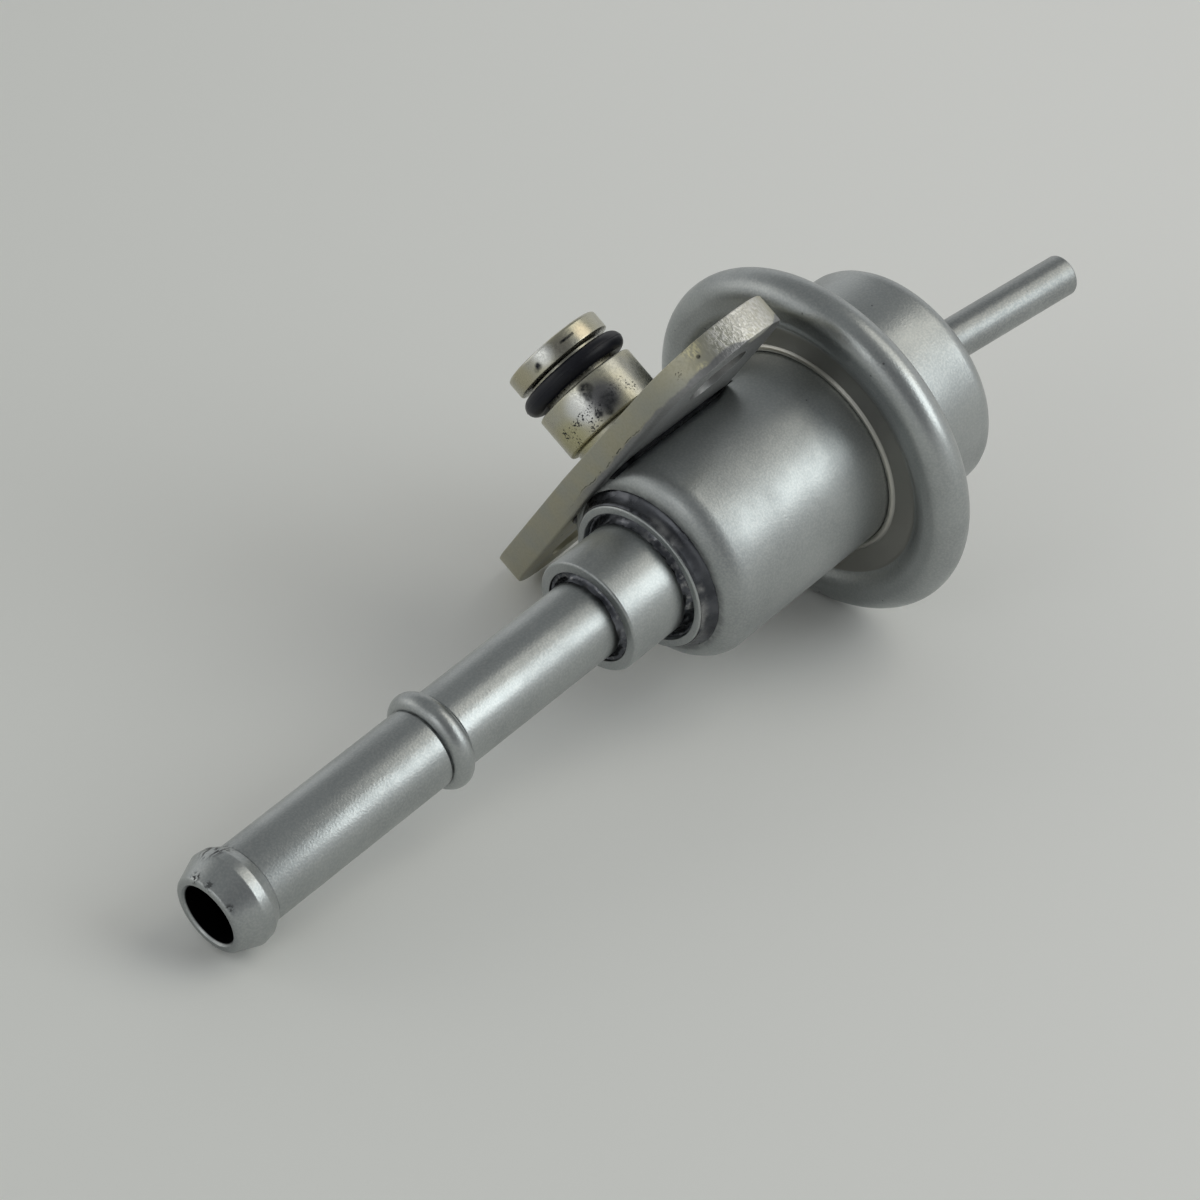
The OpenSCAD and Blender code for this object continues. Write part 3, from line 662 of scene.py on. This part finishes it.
lipEnd = rimFront[0][1] - (dome["lipFront"] - rimFront[0][0]) / math.tan(math.radians(rimStart))
springHousing = turnPiece("springHousing", [
    *arc(dome["edgeAlong"], dome["edgeRadius"], dome["edge"], 300, 120, 16),
    (dome["lipFront"], dome["lipFoot"] + dome["edgeFoot"]), (dome["lipFront"], lipEnd, dome["blendRadius"]),
    *rimFront, *arc(dome["rimAlong"], dome["rimRadius"], dome["rimOuter"], 180, 0, 34),
    (dome["backOut"], dome["radius"], dome["foot"]), (dome["top"], dome["radius"], dome["shoulder"]),
    (dome["top"], 0), (dome["under"], 0), (dome["under"], dome["inner"], dome["innerShoulder"]),
    (dome["backIn"], dome["inner"]), *arc(dome["rimAlong"], dome["rimRadius"], dome["rimInner"], 0, 180, 18),
    *arc(dome["rimAlong"], frontRadius, dome["rimInner"], 180, 270 - inTurn, 10),
    (dome["lipBack"], dome["lipFoot"]),
    (dome["lipBack"] + dome["lipStep"][0], dome["lipFoot"] + dome["lipStep"][1])], bodyLine, dome["steps"])
cutAway(springHousing, pinTool("nippleTool", -dome["nippleReach"], dome["nippleReach"], dome["nippleHole"],
                               nippleLine, dome["nippleSteps"]))
settle(springHousing, "spring_housing", housingSteel)

# return pipe: chamfered mouth, barb with a rounded crest, rolled bead with a tight crease on both sides
pipe = {"mouth": -64.1, "end": -10.1, "radius": 4.0, "bore": 3.0, "chamfer": (0.25, 0.22), "lip": 3.85,
        "crestAlong": -61.55, "crest": 4.86, "backAlong": -60.5, "back": 4.7, "barbEnd": -59.4, "step": 0.1,
        "dip": 0.03, "beadAlong": -36.7, "beadRadius": 3.8, "bead": 1.2, "crease": 0.1, "runOut": (0.22, 0.2)}
foot = math.sqrt(pipe["bead"] ** 2 - (pipe["radius"] - pipe["beadRadius"]) ** 2)
beadTurn = math.degrees(math.asin((pipe["radius"] - pipe["crease"] - pipe["beadRadius"]) / pipe["bead"]))
returnPipe = turnPiece("returnPipe", [
    (pipe["end"], pipe["bore"]), (pipe["mouth"] + pipe["chamfer"][0], pipe["bore"]),
    (pipe["mouth"], pipe["bore"] + pipe["chamfer"][1], 0.06), (pipe["mouth"], pipe["lip"], 0.4),
    (pipe["crestAlong"], pipe["crest"], 0.5), (pipe["backAlong"], pipe["back"], 0.5),
    (pipe["barbEnd"] - pipe["step"], pipe["radius"] + pipe["step"], 0.1),
    (pipe["barbEnd"], pipe["radius"] - pipe["dip"]), (pipe["barbEnd"] + pipe["step"], pipe["radius"]),
    (pipe["beadAlong"] - foot - pipe["runOut"][0], pipe["radius"], 0.1),
    *arc(pipe["beadAlong"], pipe["beadRadius"], pipe["bead"], 180 - beadTurn, beadTurn, 24),
    (pipe["beadAlong"] + foot + pipe["runOut"][1], pipe["radius"], 0.1), (pipe["end"], pipe["radius"])], bodyLine)
settle(returnPipe, "return_tube", tubeSteel, 40)

# turned sleeve with the recess for the filler, and its stem inside the chamber
sleeve = {"face": -16.1, "radius": 5.9, "recess": 4.8, "floor": -15.2, "pipeHole": 4.03, "grip": -10.1,
          "shoulder": -6.1, "stem": 4.4, "stemEnd": 8.8, "bore": 2.5, "seatHole": 3.13, "seatFloor": 5.8}
returnSleeve = turnPiece("returnSleeve", [
    (sleeve["floor"], sleeve["pipeHole"]), (sleeve["floor"], sleeve["recess"]),
    (sleeve["face"], sleeve["recess"], 0.08), (sleeve["face"], sleeve["radius"], 0.26),
    (sleeve["shoulder"], sleeve["radius"]), (sleeve["shoulder"], sleeve["stem"]),
    (sleeve["stemEnd"], sleeve["stem"], 0.2), (sleeve["stemEnd"], sleeve["seatHole"]),
    (sleeve["seatFloor"], sleeve["seatHole"]), (sleeve["seatFloor"], sleeve["bore"]),
    (sleeve["grip"], sleeve["bore"]), (sleeve["grip"], sleeve["pipeHole"])], bodyLine)
settle(returnSleeve, "return_sleeve", sleeveSteel)

# collar that stands in the cup's front wall round the sleeve
collar = {"face": -9.2, "end": -6.0, "inner": 6.85, "outer": 7.65}
neckCollar = turnPiece("neckCollar", [
    (collar["face"], collar["inner"], 0.14), (collar["face"], collar["outer"], 0.2),
    (collar["end"], collar["outer"]), (collar["end"], collar["inner"])], bodyLine)
settle(neckCollar, "neck_collar", collarSteel)

# filler: sagging skins in the corners between the pieces; lumps are their size and depth
footLumps = (0.6, 0.12)
fillers = {
    "tubeBraze": {"node": "tube_braze", "line": bodyLine, "steps": 160, "finish": tubeFiller,
                  "lumps": (0.9, 0.2), "skin": [
        (-16.36, 4.03), (-16.1, 4.1), (-15.9, 4.22), (-15.78, 4.38), (-15.72, 4.55), (-15.76, 4.68),
        (-15.84, 4.77), (-15.23, 4.77), (-15.23, 4.03)]},
    "neckBraze": {"node": "neck_braze", "line": bodyLine, "steps": 200, "finish": neckFiller,
                  "lumps": (0.6, 0.24), "skin": [
        (-9.4, 5.93), (-9.2, 5.98), (-8.98, 6.1), (-8.76, 6.26), (-8.56, 6.44), (-8.46, 6.6), (-8.46, 6.72),
        (-8.5, 6.82), (-6.6, 6.82), (-6.6, 5.93)]},
    "collarBraze": {"node": "collar_braze", "line": bodyLine, "steps": 200, "finish": collarFiller,
                    "lumps": (1.0, 0.12), "skin": [
        (-9.02, 7.68), (-9.0, 7.73), (-8.7, 7.79), (-8.4, 7.88), (-8.15, 8.0), (-7.93, 8.15), (-7.76, 8.32),
        (-7.63, 8.5), (-7.6, 8.5), (-7.6, 7.68)]},
    "spigotBraze": {"node": "spigot_braze", "line": inletLine, "steps": 128, "finish": footFillerAndShadow,
                    "lumps": footLumps, "skin": [
        (0.02, 4.73), (0.02, 5.3), (0.1, 5.12), (0.22, 4.95), (0.4, 4.83), (0.6, 4.73)]},
    "nippleBraze": {"node": "nipple_braze", "line": nippleLine, "steps": 96, "finish": footFillerAndShadow,
                    "lumps": footLumps, "skin": [
        (-0.32, 2.08), (-0.32, 2.75), (0.02, 2.62), (0.14, 2.42), (0.32, 2.24), (0.6, 2.08)]}}
for name, filler in fillers.items():
    piece = turnPiece(name, filler["skin"], filler["line"], filler["steps"])
    lumpUp(piece, *filler["lumps"])
    settle(piece, filler["node"], filler["finish"], 60)

# filler in the corner between the flange and each side of the cup, nearly black: dark filler with a painted shadow
# along the contact
strip = {"from": -7.3, "to": 7.9, "fade": 3.0, "steps": 60, "height": 8.47, "sinkIn": 0.85, "sinkUp": 0.4,
         "section": [(6.56, -3.02), (7.45, -3.02), (7.5, -3.26), (7.12, -3.46)]}


# half width of the cup at the flange, which falls away over the shoulder
def cupSide(x):
    bend = max(0, cup["front"] + cup["shoulder"] - x)
    radius = cup["radius"] - cup["shoulder"] + math.sqrt(cup["shoulder"] ** 2 - bend ** 2)
    return math.sqrt(radius ** 2 - strip["height"] ** 2)


# the strip sinks into the corner towards its end
def stripPlace(x, hand):
    sink = max(0, (x - strip["to"]) / strip["fade"] + 1) ** 2
    side = cupSide(x) - cupSide(0) - strip["sinkIn"] * sink
    return Vector((x, hand * side, strip["sinkUp"] * sink)) * mm


length = strip["to"] - strip["from"]
places = [strip["from"] + length * k / strip["steps"] for k in range(strip["steps"] + 1)]
for name, hand in (("plateBrazeNear", -1), ("plateBrazeFar", 1)):
    start = stripPlace(places[0], hand)
    plateBraze = drawLoop(name, [start + Vector((0, hand * y, z)) * mm for y, z in strip["section"]])
    bpy.ops.mesh.edge_face_add()
    for here, there in zip(places, places[1:]):
        bpy.ops.mesh.extrude_region_move(TRANSFORM_OT_translate={
            "value": stripPlace(there, hand) - stripPlace(here, hand)})
    closeUp(plateBraze)
    lumpUp(plateBraze, *footLumps)
    settle(plateBraze, "plate_braze", footFillerAndShadow, 60)

# blanked flange: soft edge below where the die pressed, fading to the far end and torn off at the near one,
# crisp edge above
plate = {"reach": 18.0, "endRadius": 7.5, "midRadius": 8.5, "thick": 3.0, "sideSteps": 16, "endSteps": 48,
         "middle": -1, "pressed": 0.6, "far": 0.22, "torn": 0.12, "crisp": 0.1, "softFrom": 6, "softOver": 18,
         "tornFrom": -19, "tornOver": 4, "boltHole": 3.3, "boltChamfer": 0.25, "inletHole": 4.73,
         "inletChamfer": 0.05, "toolFrom": -3.5, "break": 0.1, "breakTo": -2.9, "toolTo": 0.5,
         "bevelSteps": 6, "holeSteps": 96}
taper = math.degrees(math.asin((plate["midRadius"] - plate["endRadius"]) / plate["reach"]))
middle = plate["midRadius"] / math.cos(math.radians(taper))
nearEnd = arc(0, -plate["reach"], plate["endRadius"], 180 + taper, 360 - taper, plate["endSteps"])
farEnd = arc(0, plate["reach"], plate["endRadius"], taper, 180 - taper, plate["endSteps"])
outline = []
for here, there in ((nearEnd[-1], (middle, 0)), ((middle, 0), farEnd[0]),
                    (farEnd[-1], (-middle, 0)), ((-middle, 0), nearEnd[0])):
    outline += [Vector(here).lerp(Vector(there), k / plate["sideSteps"]) for k in range(1, plate["sideSteps"])]
    outline += {farEnd[0]: farEnd, nearEnd[0]: nearEnd}.get(there, [there])
flangePlate = drawLoop("flangePlate", [Vector((x, y, -plate["thick"])) * mm for x, y in outline])
bpy.ops.mesh.edge_face_add()
bpy.ops.mesh.extrude_region_move(TRANSFORM_OT_translate={"value": (0, 0, plate["thick"] * mm)})
closeUp(flangePlate)


def edgeWidth(first, last):
    if first.z > plate["middle"] and last.z > plate["middle"]:
        return plate["crisp"]
    if first.z > plate["middle"] or last.z > plate["middle"]:
        return 0
    y = (first.y + last.y) / 2
    soft = min(1, max(0, (plate["softFrom"] - y) / plate["softOver"]))
    tear = min(1, max(0, (plate["tornFrom"] - y) / plate["tornOver"]))
    width = plate["far"] + (plate["pressed"] - plate["far"]) * soft
    return width + (plate["torn"] - width) * tear


pickUp(flangePlate)
weights = flangePlate.data.attributes.new("bevel_weight_edge", "FLOAT", "EDGE")
for edge in flangePlate.data.edges:
    ends = [flangePlate.data.vertices[i].co / mm for i in edge.vertices]
    weights.data[edge.index].value = edgeWidth(*ends) / plate["pressed"]
soften = flangePlate.modifiers.new("soften", "BEVEL")
soften.width = plate["pressed"] * mm
soften.segments = plate["bevelSteps"]
soften.limit_method = "WEIGHT"
soften.use_clamp_overlap = False
bpy.ops.object.modifier_apply(modifier=soften.name)
for hand, kind in ((-1, "bolt"), (1, "bolt"), (0, "inlet")):
    line = (Vector((0, hand * plate["reach"] * mm, 0)), inletLine[1], inletLine[2])
    hole, chamfer = plate[kind + "Hole"], plate[kind + "Chamfer"]
    cutAway(flangePlate, turnPiece("holeTool", [
        (plate["toolFrom"], 0), (plate["toolFrom"], hole + plate["break"]), (plate["breakTo"], hole),
        (-chamfer, hole), (plate["toolTo"], hole + plate["toolTo"] + chamfer), (plate["toolTo"], 0)],
        line, plate["holeSteps"]))
settle(flangePlate, "flange_plate", plateZinc)

# turned inlet with a land, the groove of the ring and a thin foot
inlet = {"bore": 2.5, "bottom": -4.0, "shank": 4.0, "seat": -3.0, "foot": 4.7, "bodyFrom": 1.2, "body": 5.35,
         "bodyTop": 5.85, "groove": 3.82, "landFrom": 8.7, "land": 5.2, "top": 10.7}
inletSpigot = turnPiece("inletSpigot", [
    (inlet["bottom"], inlet["bore"]), (inlet["top"], inlet["bore"], 0.25), (inlet["top"], inlet["land"], 0.3),
    (inlet["landFrom"], inlet["land"], 0.14), (inlet["landFrom"], inlet["groove"], 0.2),
    (inlet["bodyTop"], inlet["groove"], 0.2), (inlet["bodyTop"], inlet["body"], 0.2),
    (inlet["bodyFrom"], inlet["body"], 0.3), (inlet["bodyFrom"], inlet["foot"], 0.15),
    (inlet["seat"], inlet["foot"]), (inlet["seat"], inlet["shank"]),
    (inlet["bottom"], inlet["shank"], 0.2)], inletLine)
settle(inletSpigot, "inlet_spigot", inletZinc)

# rubber ring with the fine line its mould left round the outside
ring = {"height": 7.275, "radius": 4.8, "size": 0.95, "line": 0.035, "lineHalf": 0.05, "lineSink": 0.005}
ringOut = ring["radius"] + ring["size"]
sealRing = turnPiece("sealRing", [
    *arc(ring["height"], ring["radius"], ring["size"], 94, 446, 44),
    (ring["height"] + ring["lineHalf"], ringOut - ring["lineSink"]), (ring["height"], ringOut + ring["line"]),
    (ring["height"] - ring["lineHalf"], ringOut - ring["lineSink"])], inletLine)
settle(sealRing, "inlet_o_ring", ringRubber, 60)

# thin vacuum pipe, a little swelled past its foot
nipple = {"inside": -1.6, "root": 2.05, "step": 0.9, "swell": 0.2, "radius": 2.15, "bore": 1.4, "end": 23.2,
          "steps": 96}
vacuumPipe = turnPiece("vacuumPipe", [
    (nipple["inside"], nipple["bore"]), (nipple["end"], nipple["bore"], 0.15),
    (nipple["end"], nipple["radius"], 0.22), (nipple["step"] + nipple["swell"], nipple["radius"], 0.15),
    (nipple["step"], nipple["root"], 0.1), (nipple["inside"], nipple["root"])], nippleLine, nipple["steps"])
settle(vacuumPipe, "vacuum_nipple", nippleSteel)

# diaphragm in wedges, each turned through its own share of the circle; the points on its middle, from the valve's
# plates out to the clamped edge, go to settle, which leaves the wedge where it is instead of attaching it to the
# body
sheet = {"face": 16.2, "back": 16.9, "hole": 2.3, "edge": 16.4, "rollRadius": 9.25, "rollInner": 0.65,
         "rollOuter": 1.35, "rollSteps": 16, "held": 7.7, "clamped": 10.95, "wedges": 8, "wedgeSteps": 12}
wedge = 360 / sheet["wedges"]
crown = math.degrees(math.acos((sheet["back"] - sheet["face"]) / sheet["rollOuter"]))
bendEnd = sheet["clamped"] * math.cos(math.radians(wedge / 2))
sheetProfile = [
    (sheet["face"], sheet["hole"]), (sheet["face"], sheet["held"]),
    *arc(sheet["face"], sheet["rollRadius"], sheet["rollInner"], -90, 90, sheet["rollSteps"]),
    (sheet["face"], sheet["clamped"]), (sheet["face"], sheet["edge"]),
    (sheet["back"], sheet["edge"]), (sheet["back"], sheet["clamped"]),
    *arc(sheet["face"], sheet["rollRadius"], sheet["rollOuter"], crown, -crown, sheet["rollSteps"]),
    (sheet["back"], sheet["held"]), (sheet["back"], sheet["hole"])]
for k in range(sheet["wedges"]):
    turned = Matrix.Rotation(math.radians(wedge * k), 3, bodyLine[1])
    line = (bodyLine[0], bodyLine[1], turned @ bodyLine[2])
    piece = turnPiece(f"diaphragmWedge{k + 1}", sheetProfile, line, sheet["wedgeSteps"], wedge)
    outward = sum((v.co - bodyLine[0] for v in piece.data.vertices), Vector())
    outward = (outward - bodyLine[1] * outward.dot(bodyLine[1])).normalized()
    settle(piece, "diaphragm", sheetRubber, bends=[
        tuple(bodyLine[0] + outward * (radius * mm)) for radius in (sheet["held"], bendEnd)])

# the rest of the valve inside keeps its solids and gets its finishes
insideFinish = {"valve_seat": seatSteel, "valve_ball": seatSteel, "valve_holder": holderBrass,
                "ball_retainer": holderBrass, "ball_spring": springWire, "main_spring": springWire,
                "spring_seat": springPlate}
for node, material in insideFinish.items():
    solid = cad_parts[node]
    solid.data.materials.clear()
    solid.data.materials.append(material)
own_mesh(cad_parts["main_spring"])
print("pieces made")


# stage: the part lies on its rim, its barb and one end of the flange; the floor is paler to the right, with painted
# shade on its left
stage = {"up": Vector((0.17452, -0.79837, 0.57632)).normalized(), "size": 6.0, "floorRough": 0.85,
         "floor": (0.98, 0.975, 0.955), "floorLeft": (0.86, 0.865, 0.84), "floorTurn": 0.4, "floorHalf": 0.09,
         "eye": Vector((-202.44, -314.55, -35.32)) * mm, "right": Vector((0.675, -0.3545, -0.6471)),
         "top": Vector((0.5303, -0.3767, 0.7596)), "look": Vector((0.513, 0.8559, 0.0663)),
         "lens": 120, "sensor": 36, "clip": 0.01, "lampDistance": 1.4}
up = stage["up"]


def facing(place, direction):
    return Matrix.Translation(place) @ direction.to_track_quat("Z", "Y").to_matrix().to_4x4()


drop = min(up.dot(v.co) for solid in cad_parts.values() for v in solid.data.vertices)
startFresh()
bpy.ops.mesh.primitive_plane_add(size=stage["size"])
floor = bpy.context.object
floor.name = "paleFloor"
floor.matrix_world = facing(up * drop, up)
bpy.ops.object.transform_apply(location=True, rotation=True, scale=True)
paper, tree, shader = newMaterial("palePaper", 0.0, stage["floorRough"])
# painted shade: the floor's colour falls to floorLeft on the left side
across = measure(tree, "DOT_PRODUCT", onPiece(tree), tuple(stage["right"] + stage["top"] * stage["floorTurn"]))
across = ease(tree, across, -stage["floorHalf"], stage["floorHalf"])
plug(tree, shader.inputs["Base Color"], blendColour(tree, across, stage["floorLeft"], stage["floor"]))
clear = tree.nodes.new("ShaderNodeBsdfTransparent")     # the floor is seen through from below
either = tree.nodes.new("ShaderNodeMixShader")
plug(tree, either.inputs[0], tree.nodes.new("ShaderNodeNewGeometry").outputs["Backfacing"])
plug(tree, either.inputs[1], shader.outputs[0])
plug(tree, either.inputs[2], clear.outputs[0])
plug(tree, tree.nodes["Material Output"].inputs["Surface"], either.outputs[0])
floor.data.materials.append(paper)

camera = bpy.data.objects.new("camera", bpy.data.cameras.new("camera"))
bpy.context.scene.collection.objects.link(camera)
view = Matrix((stage["right"], stage["top"], -stage["look"])).transposed()
camera.matrix_world = Matrix.Translation(stage["eye"]) @ view.to_4x4()
camera.data.lens = stage["lens"]
camera.data.sensor_width = stage["sensor"]
camera.data.clip_start = stage["clip"]
bpy.context.scene.camera = camera

# room directions: turned from behind the camera to its right, and raised above the floor
back = (stage["eye"] - up * up.dot(stage["eye"])).normalized()
rightward = up.cross(back)


def roomDirection(turn, rise):
    turn, rise = math.radians(turn), math.radians(rise)
    return (back * math.cos(turn) + rightward * math.sin(turn)) * math.cos(rise) + up * math.sin(rise)


# each lamp: turn, rise, size, brightness of its face, colour
lamps = {"window": (77, 29, 0.76, 2.05, (0.95, 1.0, 0.99)), "warmWall": (104, 50, 0.85, 1.1, (1.0, 0.96, 0.86)),
         "leftWindow": (-38, 27, 0.5, 0.9, (0.98, 0.99, 0.97)), "leftWall": (-100, 18, 0.7, 0.6, (1.0, 0.97, 0.9))}
for name, (turn, rise, size, bright, colour) in lamps.items():
    lamp = bpy.data.lights.new(name, "AREA")
    lamp.size = size
    lamp.energy = bright * math.pi * size * size
    lamp.color = colour
    holder = bpy.data.objects.new(name, lamp)
    bpy.context.scene.collection.objects.link(holder)
    direction = roomDirection(turn, rise)
    holder.matrix_world = facing(direction * stage["lampDistance"], direction)
    holder.visible_camera = False

# the room: pale all round, darker overhead and on the photographer's side
room = {"low": (0.645, 0.655, 0.65), "high": (0.29, 0.3, 0.3), "rise": (0.3, 0.72), "shade": (0.2, 0.205, 0.21),
        "shadeTurn": 14, "shadeRise": 30, "shadeWide": 40, "shadeCore": 12}
world = bpy.data.worlds.new("room")
bpy.context.scene.world = world
world.use_nodes = True
tree = world.node_tree
direction = tree.nodes.new("ShaderNodeTexCoord").outputs["Generated"]
rise = measure(tree, "DOT_PRODUCT", direction, tuple(up))
colour = blendColour(tree, ease(tree, rise, *room["rise"]), room["low"], room["high"])
towards = measure(tree, "DOT_PRODUCT", direction, tuple(roomDirection(room["shadeTurn"], room["shadeRise"])))
shade = ease(tree, towards, *[math.cos(math.radians(room[edge])) for edge in ("shadeWide", "shadeCore")])
plug(tree, tree.nodes["Background"].inputs["Color"], blendColour(tree, shade, colour, room["shade"]))
bpy.context.scene.view_settings.view_transform = "Standard"
print("stage set")
